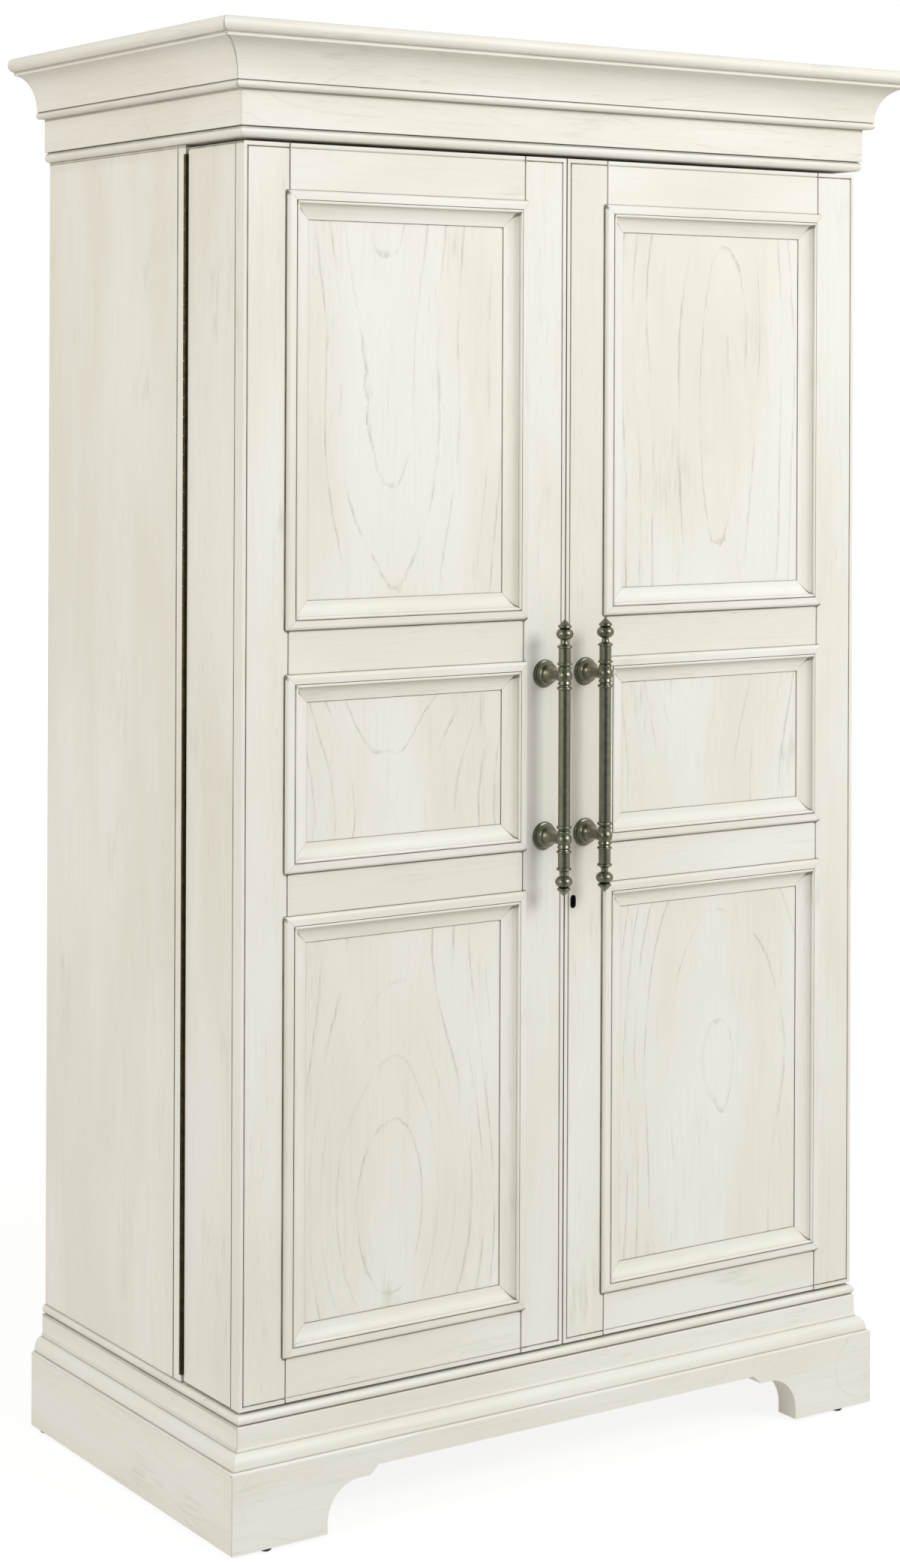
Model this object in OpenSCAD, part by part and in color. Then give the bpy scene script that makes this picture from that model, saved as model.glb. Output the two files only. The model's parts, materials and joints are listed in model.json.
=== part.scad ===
// Armoire with two deep box doors, a crown cornice and a bracket-foot plinth.
// Millimetres, +Z up, front towards -Y. The origin is on the floor, under the centre of the bounding box.

/* [Overall] */
// Height from the floor to the top of the crown
overall_h = 1905; // [1860:5:1960]
// Width across the two door fronts
front_w = 1004; // [940:4:1060]
// Depth from the door faces to the back
body_d = 545; // [500:5:600]

/* [Doors] */
// Depth of each box door, frame included
door_d = 143; // [120:1:160]
// Place of the meeting line, negative towards the left
meeting_x = -5; // [-10:1:10]
// Gap between the two doors
meeting_gap = 2; // [1:0.5:3]
// Thickness of the front frame
frame_t = 21; // [20:1:24]
// Width of the stiles
stile_w = 67; // [62:1:80]
// Width of the rails
rail_w = 64; // [56:1:74]
// How much wider than that the rail over the middle panel is, and how much narrower the bottom rail
rail_shift = 2; // [0:0.5:6]
// Height of the small middle panel opening
mid_panel_h = 240; // [200:2:300]
// Thickness of the return boards behind the frame
return_t = 18; // [15:1:20]
// Thickness of the door shelves
door_shelf_t = 12; // [10:1:16]

/* [Panel mouldings] */
// Width of the moulding round a panel
moulding_w = 36; // [33:0.5:38]
// Height of the moulding above the door face
moulding_h = 6; // [5:0.5:8]
// How far the moulding laps over the frame
moulding_lap = 5; // [2:0.5:6]

/* [Case] */
// Thickness of the case boards
case_t = 18; // [16:1:20]
// Depth of the solid strip along the front edge of each side
edge_strip_d = 21; // [16:1:30]
// Height of the top face of the fixed shelf
fixed_shelf_top = 778; // [700:2:850]
// Height of the hanging rod
rod_z = 1650; // [1550:10:1680]

/* [Base] */
// Height of the glides under the plinth
glide_h = 5; // [4:0.5:8]
// Height of the plinth boards' top edge
plinth_top = 107; // [95:1:125]
// How far the plinth stands proud of the doors
plinth_proud = 21; // [17:1:26]
// Thickness of the plinth boards
plinth_t = 37; // [30:1:42]
// Height of the moulding between plinth and deck
base_moulding_h = 50; // [45:1:60]
// Thickness of the deck with its rounded edge
deck_t = 13; // [12:1:16]
// Width of each front foot at the floor
foot_w = 138.5; // [110:0.5:170]
// Height of the front cut-out's straight edge
apron_z = 78.5; // [70:0.5:84]

/* [Cornice] */
// Thickness of the soffit board with its rounded edge
soffit_t = 14; // [12:1:16]
// Height of the flat frieze that shows below the crown
frieze_h = 46; // [36:1:56]
// How far the frieze stands proud of the doors
frieze_proud = 8.5; // [6:0.5:12]
// Height of the crown
crown_h = 82; // [76:1:92]
// How far the crown stands proud of the frieze
crown_out = 57; // [50:1:64]

/* [Hardware] */
// Width of the hinge gap between a door's back and the case
hinge_gap = 7.6; // [7:0.2:9]
// Outer diameter of the hinge barrel
barrel_d = 6.8; // [6:0.2:6.8]
// Number of knuckles in each hinge, an odd number
knuckles = 65; // [45:2:75]
// Whole length of a pull
pull_len = 366; // [340:2:380]
// Distance between a pull's posts
pull_centres = 216; // [200:2:230]
// Distance of a pull's bar from the door face
pull_standoff = 45; // [40:1:55]
// Distance of a pull from the door's meeting edge
pull_inset = 32.4; // [28:0.2:36]
// Height of the keyhole's centre
keyhole_z = 763.6; // [740:0.2:790]
// Travel of the lock bolt
lock_travel = 8; // [6:0.5:9]
// Travel of the two barrel bolts in the left door
barrel_bolt_travel = 12; // [8:1:12]

/* [Hidden] */

// Colours
paint = "#e9e6dc";
bare_wood = "#d9c9a6";
pewter = "#6b6858";
bronze = "#2c2718";
nylon = "#1c1c1c";
steel = "#a7a59c";

// Small steps shared by several parts
over = 1;
reach = 100;
v_side = 1.7;
bead_inset = 6;
joint_gap = 0.05;
crown_mitre_gap = 0.5;
door_gap_below = 3.5;
door_gap_above = 4.5;

// The whole box, which puts the origin under its centre
face_y = -(body_d - frieze_proud - crown_out) / 2;
half_w = front_w / 2;

// Heights
deck_bottom = plinth_top + base_moulding_h;
deck_top = deck_bottom + deck_t;
soffit_bottom = overall_h - crown_h - frieze_h - soffit_t;
frieze_bottom = soffit_bottom + soffit_t;
crown_bottom = frieze_bottom + frieze_h;
door_bottom = deck_top + door_gap_below;
door_top = soffit_bottom - door_gap_above;
door_h = door_top - door_bottom;
tall_panel_h = (door_h - 4 * rail_w - mid_panel_h) / 2;
pull_z = door_bottom + 2 * rail_w - rail_shift + tall_panel_h + mid_panel_h / 2;

// Widths and depths
left_w = half_w + meeting_x - meeting_gap / 2;
right_w = half_w - meeting_x - meeting_gap / 2;
case_y = door_d + hinge_gap;
inner_half_w = half_w - case_t;
side_y = case_y + edge_strip_d;
back_t = 6;
back_rebate = 9;
back_y = body_d - back_rebate;
shelf_set_back = 12;
shelf_front_y = case_y + shelf_set_back;
rod_y = (side_y + back_y) / 2;

// Joinery inside the door frame
groove_y = 7;
groove_t = 7;
groove_d = 12;
panel_d = 10;
shelf_lip_t = 9;
shelf_lip_h = 38;
shelf_lip_z = 14;
shelf_lip_in = 3;

// Panel mouldings, outwards in: rounded edge, flat, quirk, bead, quirk and cove
edge_round = 4.5;
moulding_flat = 12;
quirk = 0.4;
bead_r = 2.1;
cove_foot = 1;

// Plinth
base_in = plinth_t - plinth_proud;
plinth_round = 3;
back_rail_z = 20;
block_w = 45;
block_z = 25;
foot_in = half_w + plinth_proud - foot_w;
foot_straight_z = 19;
foot_arc_w = 46;
foot_arc_z = 67;
foot_flat_w = 17.5;
foot_step_w = 13;
band_proud = 4.5;
band_z = 23;
torus_w = 11;
torus_h = 19;
torus_foot = 2.5;
deck_proud = -2;
front_glide_x = half_w - 33;
side_glide_y = body_d - 25;
glide_r = 7.5;
glide_edge = 1.5;
nail_r = 1.5;
nail_l = 15;

// Cornice
frieze_t = 18;
soffit_proud = 1;
dust_board_t = 12;
crown_bead_r = 4.7;
crown_bead_x = 8.5;
crown_top_r = 9.5;
crown_fillet_h = 5;
crown_fillet_step = 1.5;

// Hinges
leaf_t = 1.2;
leaf_w = 16;
axis_out = 1;
axis_y = door_d + hinge_gap / 2;
pin_r = 1.5;
pin_fit = 0.1;
hinge_end = 8;
hinge_bottom = door_bottom + hinge_end;
hinge_l = door_h - 2 * hinge_end;
knuckle_pitch = hinge_l / knuckles;
knuckle_gap = 0.5;
barrel_clear = 0.6;

// Shelf pins
pin_rows = 6;
pin_front_in = 45;
pin_rear_in = 55;
pin_pitch = 64;
pin_first_z = 300;
pin_hole_r = 2.6;
pin_hole_d = 9;
shelf_pin_r = 2.5;
shelf_pin_in = 8;
shelf_pin_l = 18;
pin_flange_r = 4.5;
pin_flange_t = 1.5;
lower_pin_row = 1;
upper_pin_row = 4;
shelf_clear = 2;

// Hanging rod
rod_r = 12.5;
rod_wall = 1.5;
rod_play = 3;
socket_flange_w = 12;
socket_flange_t = 2.5;
socket_wall = 3;
socket_l = 14;

// Pull
bar_r = 8;
post_ball_r = 10.4;
post_in = 2;
post_fit = 0.02;
post_notch_w = 1.1;
post_notch_h = 30;

// Lock and its strike
lock_w = 25;
lock_h = 50;
lock_t = 9.6;
lock_y = 10.5;
lock_wall = 1.2;
lock_plate_t = 1.5;
lock_plate_w = 14;
lock_plate_h = 64;
lock_clear = 0.3;
bolt_h = 20;
bolt_t = 6;
bolt_head_l = 11.5;
bolt_tail_h = 4;
keyhole_w = 8.6;
keyhole_h = 17.4;
keyhole_inset = 13.7;
key_pin_r = 1.3;
key_pin_z = 3.5;
bolt_tail_in = 2.5;
bolt_pocket = 3;

// Barrel bolts
rod_bolt_r = 3;
rod_bolt_fit = 0.1;
rod_bolt_l = 104;
rod_bolt_in = 2;
rod_bolt_hole_r = 3.6;
rod_bolt_y = 62;
rod_bolt_off = 8;
knob_z = -78;
knob_neck_r = 2;
strap_h = 10;
strap_wall = 2;
stop_clear = 0.4;
bolt_plate_t = 1.5;
bolt_plate_w = 18;
bolt_plate_z = [-100, -24];
keeper_r = 10;
keeper_t = 1.5;

// ---------------------------------------------------------------- helpers

// Moves a shape from the frame whose y = 0 is the door face into the part's own frame
module from_door_face() {
    translate([0, face_y, 0]) children();
}

// Box between two opposite corners
module block(low, high) {
    translate(low) cube(high - low);
}

// Points along part of an ellipse
function arc(centre, rx, ry, from, to, steps) = [
    for (i = [0:steps])
        let (a = from + (to - from) * i / steps)
        [centre[0] + rx * cos(a), centre[1] + ry * sin(a)]
];

// Long square prism on its corner, which cuts a V-groove: upright, across and front to back
module v_upright(x, y, z0, z1) {
    translate([x, y, z0]) rotate([0, 0, 45]) translate([-v_side / 2, -v_side / 2, 0])
        cube([v_side, v_side, z1 - z0]);
}

module v_across(x0, x1, y, z) {
    translate([x0, y, z]) rotate([45, 0, 0]) translate([0, -v_side / 2, -v_side / 2])
        cube([x1 - x0, v_side, v_side]);
}

// A moulding whose profile is drawn outwards along x and upwards along y, run along the front
// and cut to mitres at both ends, each short of its corner by gap
module run_front(gap = 0) {
    intersection() {
        rotate([90, 0, -90]) linear_extrude(height = front_w + 2 * reach, center = true) children();
        translate([0, 0, -over]) linear_extrude(height = overall_h + 2 * over)
            polygon([
                [-half_w - reach + gap, -reach], [half_w + reach - gap, -reach],
                [half_w - reach - gap, reach], [-half_w + reach + gap, reach]
            ]);
    }
}

// The same moulding run back along the left side, mitred at the front and square at the back
module run_left(gap = 0) {
    intersection() {
        translate([-half_w, -reach, 0]) rotate([90, 0, 180])
            linear_extrude(height = body_d + reach) children();
        translate([0, 0, -over]) linear_extrude(height = overall_h + 2 * over)
            polygon([
                [-half_w - reach - gap, -reach], [-half_w + reach - gap, reach],
                [-half_w + reach - gap, body_d], [-half_w - reach - gap, body_d]
            ]);
    }
}

module run_right(gap = 0) {
    mirror([1, 0, 0]) run_left(gap) children();
}

// Left and right mirror copies
module both_sides() {
    children();
    mirror([1, 0, 0]) children();
}

// Places a door drawn from its hinged edge (x = 0) towards its meeting edge
module as_left_door() {
    from_door_face() translate([-half_w, 0, door_bottom]) children();
}

module as_right_door() {
    from_door_face() mirror([1, 0, 0]) translate([-half_w, 0, door_bottom]) children();
}

// ---------------------------------------------------------------- plinth and base

function plinth_profile() = concat(
    [[-base_in, glide_h], [plinth_proud, glide_h]],
    arc([plinth_proud - plinth_round, plinth_top - plinth_round], plinth_round, plinth_round, 0, 90, 4),
    [[-base_in, plinth_top]]
);

// One half of the bracket cut-out, from the foot to the middle
function cut_out_half(side) = [
    for (p = concat(
        [[foot_in, -over]],
        arc([foot_in - foot_arc_w, foot_straight_z], foot_arc_w, foot_arc_z - foot_straight_z, 0, 90, 12),
        [
            [foot_in - foot_arc_w - foot_flat_w, foot_arc_z],
            [foot_in - foot_arc_w - foot_flat_w - foot_step_w, apron_z]
        ]
    )) [side * p[0], p[1]]
];

module plinth_cut_out() {
    right = cut_out_half(1);
    left = cut_out_half(-1);
    count = len(left);
    rotate([90, 0, 0]) linear_extrude(height = 2 * reach, center = true)
        polygon(concat(right, [for (i = [0:count - 1]) left[count - 1 - i]]));
}

module nail_hole(x, y) {
    translate([x, y, 0]) cylinder(r = nail_r, h = glide_h + nail_l, $fn = 24);
}

module plinth_front_board() {
    color(paint) from_door_face() difference() {
        run_front() polygon(plinth_profile());
        plinth_cut_out();
        for (side = [-1, 1]) nail_hole(side * front_glide_x, -plinth_proud / 2);
    }
}

// The side boards' sharp corners are notched, which leaves a fine line beside each mitre
module plinth_side() {
    difference() {
        run_left() polygon(plinth_profile());
        nail_hole(-half_w - plinth_proud / 2, side_glide_y);
        v_upright(-half_w - plinth_proud, -plinth_proud, glide_h - over, plinth_top + over);
    }
}

module plinth_left_board() {
    color(paint) from_door_face() plinth_side();
}

module plinth_right_board() {
    color(paint) from_door_face() mirror([1, 0, 0]) plinth_side();
}

module plinth_back_rail() {
    rail_x = half_w - base_in;
    color(bare_wood) from_door_face()
        block([-rail_x, body_d - case_t, back_rail_z], [rail_x, body_d, deck_bottom]);
}

module glide(x, y) {
    translate([x, y, 0]) {
        cylinder(r1 = glide_r - glide_edge, r2 = glide_r, h = glide_edge, $fn = 40);
        translate([0, 0, glide_edge]) cylinder(r = glide_r, h = glide_h - glide_edge, $fn = 40);
        translate([0, 0, glide_h - over]) cylinder(r = nail_r, h = nail_l, $fn = 24);
    }
}

module glides() {
    color(nylon) from_door_face() both_sides() {
        glide(-front_glide_x, -plinth_proud / 2);
        glide(-half_w - plinth_proud / 2, side_glide_y);
    }
}

// Blocks glued inside the corners of the plinth and of the cornice
module glue_blocks() {
    plinth_x = half_w - base_in;
    frieze_x = half_w + frieze_proud - frieze_t;
    frieze_y = frieze_t - frieze_proud;
    block_top = overall_h - dust_board_t;
    color(bare_wood) from_door_face() both_sides() {
        block([-plinth_x, base_in, block_z], [-plinth_x + block_w, base_in + block_w, plinth_top]);
        block(
            [-plinth_x, body_d - case_t - block_w, block_z],
            [-plinth_x + block_w, body_d - case_t, plinth_top]
        );
        block(
            [-frieze_x, frieze_y, frieze_bottom],
            [-frieze_x + block_w, frieze_y + block_w, block_top]
        );
        block(
            [-frieze_x, body_d - frieze_t - block_w, frieze_bottom],
            [-frieze_x + block_w, body_d - frieze_t, block_top]
        );
    }
}

// Rounded foot, small fillet, flat band and a chamfered top edge
function base_moulding_profile() =
    let (
        z0 = plinth_top,
        z1 = deck_bottom,
        fillet = 1,
        bevel = 1.2,
        torus_x = band_proud + fillet
    )
    concat(
        [[-base_in, z0], [torus_x + torus_w, z0]],
        arc([torus_x, z0 + torus_foot], torus_w, torus_h - torus_foot, 0, 90, 10),
        [
            [torus_x, z0 + band_z - fillet],
            [band_proud, z0 + band_z],
            [band_proud, z1 - bevel],
            [band_proud - bevel, z1],
            [-base_in, z1]
        ]
    );

module base_moulding_front() {
    color(paint) from_door_face() run_front() polygon(base_moulding_profile());
}

module base_moulding_side() {
    difference() {
        run_left() polygon(base_moulding_profile());
        v_upright(-half_w - band_proud, -band_proud, plinth_top + band_z, deck_bottom + over);
    }
}

module base_moulding_left() {
    color(paint) from_door_face() base_moulding_side();
}

module base_moulding_right() {
    color(paint) from_door_face() mirror([1, 0, 0]) base_moulding_side();
}

// A board whose front and side edges are half-round
module round_edged_board(z, t, out) {
    union() {
        block([-half_w - out, -out, z], [half_w + out, body_d, z + t]);
        run_front() translate([out, z + t / 2]) circle(r = t / 2, $fn = 48);
        run_left() translate([out, z + t / 2]) circle(r = t / 2, $fn = 48);
        run_right() translate([out, z + t / 2]) circle(r = t / 2, $fn = 48);
    }
}

bolt_x = -half_w + left_w - return_t - rod_bolt_off;

module keeper_recess(z) {
    translate([bolt_x, rod_bolt_y, z]) cylinder(r = keeper_r, h = keeper_t, $fn = 48);
}

module bolt_hole() {
    translate([bolt_x, rod_bolt_y, 0]) cylinder(r = rod_bolt_hole_r, h = overall_h, $fn = 48);
}

module base_deck() {
    color(paint) from_door_face() difference() {
        round_edged_board(deck_bottom, deck_t, deck_proud);
        intersection() {
            bolt_hole();
            block([-half_w, 0, deck_bottom - over], [half_w, body_d, deck_top + over]);
        }
        keeper_recess(deck_top - keeper_t);
    }
}

// ---------------------------------------------------------------- case

module case_bottom() {
    color(bare_wood) from_door_face()
        block([-inner_half_w, case_y, deck_top], [inner_half_w, back_y, deck_top + case_t]);
}

module case_top() {
    color(bare_wood) from_door_face()
        block([-inner_half_w, case_y, soffit_bottom - case_t], [inner_half_w, back_y, soffit_bottom]);
}

pin_front_y = side_y + pin_front_in;
pin_rear_y = back_y - pin_rear_in;

module pin_holes() {
    for (y = [pin_front_y, pin_rear_y], row = [0:pin_rows - 1])
        translate([-inner_half_w - pin_hole_d, y, pin_first_z + row * pin_pitch])
            rotate([0, 90, 0]) cylinder(r = pin_hole_r, h = pin_hole_d + over, $fn = 32);
}

module case_side() {
    difference() {
        block([-half_w, side_y, deck_top], [-inner_half_w, body_d, soffit_bottom]);
        v_upright(-half_w, side_y, deck_top - over, soffit_bottom + over);
        pin_holes();
    }
}

module case_side_left() {
    color(paint) from_door_face() case_side();
}

module case_side_right() {
    color(paint) from_door_face() mirror([1, 0, 0]) case_side();
}

module case_edge_strips() {
    color(paint) from_door_face() both_sides() difference() {
        block([-half_w, case_y, deck_top], [-inner_half_w, side_y, soffit_bottom]);
        v_upright(-half_w, side_y, deck_top - over, soffit_bottom + over);
    }
}

module case_back() {
    color(bare_wood) from_door_face()
        block([-inner_half_w, back_y, deck_top], [inner_half_w, back_y + back_t, soffit_bottom]);
}

module fixed_shelf() {
    color(bare_wood) from_door_face()
        block(
            [-inner_half_w, shelf_front_y, fixed_shelf_top - case_t],
            [inner_half_w, back_y, fixed_shelf_top]
        );
}

// Height of the pins' centres under an adjustable shelf
function pin_z(row) = pin_first_z + row * pin_pitch;

module adjustable_shelves() {
    color(bare_wood) from_door_face()
        for (row = [lower_pin_row, upper_pin_row])
            block(
                [-inner_half_w + shelf_clear, shelf_front_y, pin_z(row) + shelf_pin_r],
                [inner_half_w - shelf_clear, back_y - shelf_clear, pin_z(row) + shelf_pin_r + case_t]
            );
}

module shelf_pins() {
    color(steel) from_door_face() both_sides()
        for (y = [pin_front_y, pin_rear_y], row = [lower_pin_row, upper_pin_row])
            translate([-inner_half_w, y, pin_z(row)]) rotate([0, 90, 0]) {
                translate([0, 0, -shelf_pin_in]) cylinder(r = shelf_pin_r, h = shelf_pin_l, $fn = 32);
                cylinder(r = pin_flange_r, h = pin_flange_t, $fn = 32);
            }
}

module hanging_rod() {
    color(steel) from_door_face() translate([0, rod_y, rod_z]) rotate([0, 90, 0])
        difference() {
            cylinder(r = rod_r, h = 2 * (inner_half_w - rod_play), center = true, $fn = 64);
            cylinder(r = rod_r - rod_wall, h = 2 * inner_half_w, center = true, $fn = 64);
        }
}

// Flanged cup that holds one end of the hanging rod
module rod_sockets() {
    color(steel) from_door_face() both_sides()
        translate([-inner_half_w, rod_y, rod_z]) rotate([0, 90, 0]) difference() {
            union() {
                cylinder(r = rod_r + socket_flange_w, h = socket_flange_t, $fn = 64);
                cylinder(r = rod_r + socket_wall, h = socket_l, $fn = 64);
            }
            translate([0, 0, socket_flange_t]) cylinder(r = rod_r, h = socket_l, $fn = 64);
        }
}

// ---------------------------------------------------------------- cornice

module soffit_board() {
    color(paint) from_door_face() difference() {
        round_edged_board(soffit_bottom, soffit_t, soffit_proud);
        intersection() {
            bolt_hole();
            block([-half_w, 0, soffit_bottom - over], [half_w, body_d, frieze_bottom + over]);
        }
        keeper_recess(soffit_bottom);
    }
}

function frieze_profile() = [
    [frieze_proud - frieze_t, frieze_bottom], [frieze_proud, frieze_bottom],
    [frieze_proud, overall_h], [frieze_proud - frieze_t, overall_h]
];

module frieze_boards() {
    rail_x = half_w + frieze_proud - frieze_t - joint_gap;
    color(paint) from_door_face() {
        run_front(joint_gap) polygon(frieze_profile());
        run_left(joint_gap) polygon(frieze_profile());
        run_right(joint_gap) polygon(frieze_profile());
        block([-rail_x, body_d - frieze_t, frieze_bottom], [rail_x, body_d, overall_h]);
    }
}

// Small bead, long cove, fillet and a round top bead, outwards from the frieze
function crown_profile() =
    let (
        bead_top = 2 * crown_bead_r,
        cove_z = bead_top + 0.2,
        cove_x = crown_bead_x + 3.5,
        fillet_x = crown_out - crown_top_r,
        fillet_z = crown_h - 2 * crown_top_r - crown_fillet_h,
        cove_end = fillet_x - crown_fillet_step,
        cove_h = fillet_z - cove_z
    )
    [
        for (p = concat(
            [[0, 0]],
            arc([crown_bead_x, crown_bead_r], crown_bead_r, crown_bead_r, -90, 90, 8),
            arc([cove_end, cove_z], cove_end - cove_x, cove_h, 180, 90, 16),
            [[fillet_x, fillet_z]],
            arc([fillet_x, crown_h - crown_top_r], crown_top_r, crown_top_r, -90, 90, 14),
            [[0, crown_h]]
        )) p + [frieze_proud, crown_bottom]
    ];

module crown_front() {
    color(paint) from_door_face() run_front() polygon(crown_profile());
}

module crown_left() {
    color(paint) from_door_face() run_left(crown_mitre_gap) polygon(crown_profile());
}

module crown_right() {
    color(paint) from_door_face() run_right(crown_mitre_gap) polygon(crown_profile());
}

module dust_board() {
    board_x = half_w + frieze_proud - frieze_t;
    color(bare_wood) from_door_face()
        block(
            [-board_x, frieze_t - frieze_proud, overall_h - dust_board_t],
            [board_x, body_d - frieze_t, overall_h]
        );
}

// ---------------------------------------------------------------- hinges

// Height of a knuckle's lower end above the hinge's lower end
function knuckle_z(i) = i * knuckle_pitch + knuckle_gap / 2;

// A leaf with every second knuckle, drawn for the left door's back edge
module hinge_leaf(first) {
    knuckle_l = knuckle_pitch - knuckle_gap;
    root_x = barrel_d / 2 + barrel_clear - axis_out;
    translate([0, 0, hinge_bottom - door_bottom]) {
        block([root_x, door_d, 0], [leaf_w, door_d + leaf_t, hinge_l]);
        for (i = [first:2:knuckles - 1]) difference() {
            union() {
                block(
                    [-axis_out, door_d, knuckle_z(i)],
                    [root_x, door_d + leaf_t, knuckle_z(i) + knuckle_l]
                );
                translate([-axis_out, axis_y, knuckle_z(i)])
                    cylinder(r = barrel_d / 2, h = knuckle_l, $fn = 48);
            }
            translate([-axis_out, axis_y, knuckle_z(i) - over])
                cylinder(r = pin_r + pin_fit, h = knuckle_l + 2 * over, $fn = 32);
        }
    }
}

module door_left_hinge_leaf() {
    color(bronze) as_left_door() union() hinge_leaf(1);
}

module door_right_hinge_leaf() {
    color(bronze) as_right_door() union() hinge_leaf(1);
}

// The case's leaves are the doors' leaves turned to face them
module case_hinge_leaf() {
    translate([0, 2 * axis_y, 0]) mirror([0, 1, 0]) union() hinge_leaf(0);
}

module case_hinge_leaves() {
    color(bronze) {
        as_left_door() case_hinge_leaf();
        as_right_door() case_hinge_leaf();
    }
}

module hinge_pins() {
    color(bronze) from_door_face() both_sides()
        translate([-half_w - axis_out, axis_y, hinge_bottom]) cylinder(r = pin_r, h = hinge_l, $fn = 32);
}

// ---------------------------------------------------------------- door frame and box

// Incised line just inside the edges of a door's face, its cuts crossing a little at the corners
module edge_lines(w) {
    x0 = bead_inset;
    x1 = w - bead_inset;
    z0 = bead_inset;
    z1 = door_h - bead_inset;
    for (x = [x0, x1]) v_upright(x, 0, z0 - over, z1 + over);
    for (z = [z0, z1]) v_across(x0 - over, x1 + over, 0, z);
}

module outer_stile(w) {
    difference() {
        cube([stile_w, frame_t, door_h]);
        block([stile_w - groove_d, groove_y, -over], [stile_w + over, groove_y + groove_t, door_h + over]);
        v_upright(stile_w, 0, -over, door_h + over);
        v_upright(0, frame_t, -over, door_h + over);
        edge_lines(w);
    }
}

module meeting_stile(w) {
    x0 = w - stile_w;
    difference() {
        block([x0, 0, 0], [w, frame_t, door_h]);
        block([x0 - over, groove_y, -over], [x0 + groove_d, groove_y + groove_t, door_h + over]);
        v_upright(x0, 0, -over, door_h + over);
        v_upright(w, frame_t, -over, door_h + over);
        edge_lines(w);
    }
}

// Widths and lower edges of the rails, and lower edges of the panel openings between them
rail_h = [rail_w - rail_shift, rail_w, rail_w + rail_shift, rail_w];
rail_z = [
    0,
    rail_h[0] + tall_panel_h,
    rail_h[0] + rail_h[1] + tall_panel_h + mid_panel_h,
    door_h - rail_h[3]
];
opening_z = [for (i = [0:2]) rail_z[i] + rail_h[i]];
opening_h = [tall_panel_h, mid_panel_h, tall_panel_h];

module rails(w) {
    x0 = stile_w;
    x1 = w - stile_w;
    for (i = [0:3]) difference() {
        union() {
            block([x0, 0, rail_z[i]], [x1, frame_t, rail_z[i] + rail_h[i]]);
            block(
                [x0 - groove_d, groove_y, rail_z[i]],
                [x1 + groove_d, groove_y + groove_t, rail_z[i] + rail_h[i]]
            );
        }
        if (i > 0)
            block(
                [0, groove_y, rail_z[i] - over],
                [w, groove_y + groove_t, rail_z[i] + groove_d]
            );
        if (i < 3)
            block(
                [0, groove_y, rail_z[i] + rail_h[i] - groove_d],
                [w, groove_y + groove_t, rail_z[i] + rail_h[i] + over]
            );
        v_upright(x0, 0, rail_z[i] - over, rail_z[i] + rail_h[i] + over);
        v_upright(x1, 0, rail_z[i] - over, rail_z[i] + rail_h[i] + over);
        edge_lines(w);
    }
}

module panels(w) {
    for (i = [0:2])
        block(
            [stile_w - panel_d, groove_y, opening_z[i] - panel_d],
            [w - stile_w + panel_d, groove_y + groove_t, opening_z[i] + opening_h[i] + panel_d]
        );
}

// Rounded outer edge, flat, quirk, bead and a cove down to the panel
function moulding_profile() =
    let (
        top = moulding_h,
        w = moulding_w,
        edge_h = 1,
        bead_x = moulding_flat + quirk + bead_r,
        bead_z = top - bead_r / 2,
        cove_x = bead_x + bead_r + quirk,
        cove_z = top - bead_r
    )
    concat(
        [[moulding_lap, -groove_y], [moulding_lap, 0], [0, 0]],
        arc([edge_round, edge_h], edge_round, top - edge_h, 180, 90, 6),
        [[moulding_flat, top]],
        arc([bead_x, bead_z], bead_r, bead_r, 180, 0, 8),
        [[bead_x + bead_r, cove_z]],
        arc([w, cove_z], w - cove_x, cove_z + groove_y - cove_foot, 180, 270, 10),
        [[w, -groove_y]]
    );

// One side of a moulding frame, mitred at both ends
module moulding_bar(length) {
    intersection() {
        rotate([180, 0, 0]) rotate([0, 90, 0]) linear_extrude(height = length)
            polygon(moulding_profile());
        rotate([90, 0, 0]) linear_extrude(height = 2 * reach, center = true)
            polygon([
                [joint_gap, 0], [length - joint_gap, 0],
                [length - moulding_w - joint_gap, moulding_w], [moulding_w + joint_gap, moulding_w]
            ]);
    }
}

module mouldings(w) {
    x0 = stile_w - moulding_lap;
    x1 = w - stile_w + moulding_lap;
    for (i = [0:2]) {
        z0 = opening_z[i] - moulding_lap;
        z1 = opening_z[i] + opening_h[i] + moulding_lap;
        translate([x0, 0, z0]) moulding_bar(x1 - x0);
        translate([x0, 0, z1]) mirror([0, 0, 1]) moulding_bar(x1 - x0);
        translate([x0, 0, z0]) mirror([1, 0, -1]) moulding_bar(z1 - z0);
        translate([x1, 0, z0]) mirror([1, 0, 0]) mirror([1, 0, -1]) moulding_bar(z1 - z0);
    }
}

module outer_return() {
    difference() {
        block([0, frame_t, 0], [return_t, door_d, door_h]);
        v_upright(0, frame_t, -over, door_h + over);
    }
}

module meeting_return(w) {
    difference() {
        block([w - return_t, frame_t, 0], [w, door_d, door_h]);
        v_upright(w, frame_t, -over, door_h + over);
    }
}

module end_returns(w) {
    for (z = [0, door_h - return_t])
        block([return_t, frame_t, z], [w - return_t, door_d, z + return_t]);
}

// Door shelves behind the rails and halfway up the tall panels
door_shelf_z = [
    opening_z[0] + tall_panel_h / 2,
    rail_z[1] + rail_h[1] / 2,
    rail_z[2] + rail_h[2] / 2,
    opening_z[2] + tall_panel_h / 2
];

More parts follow.
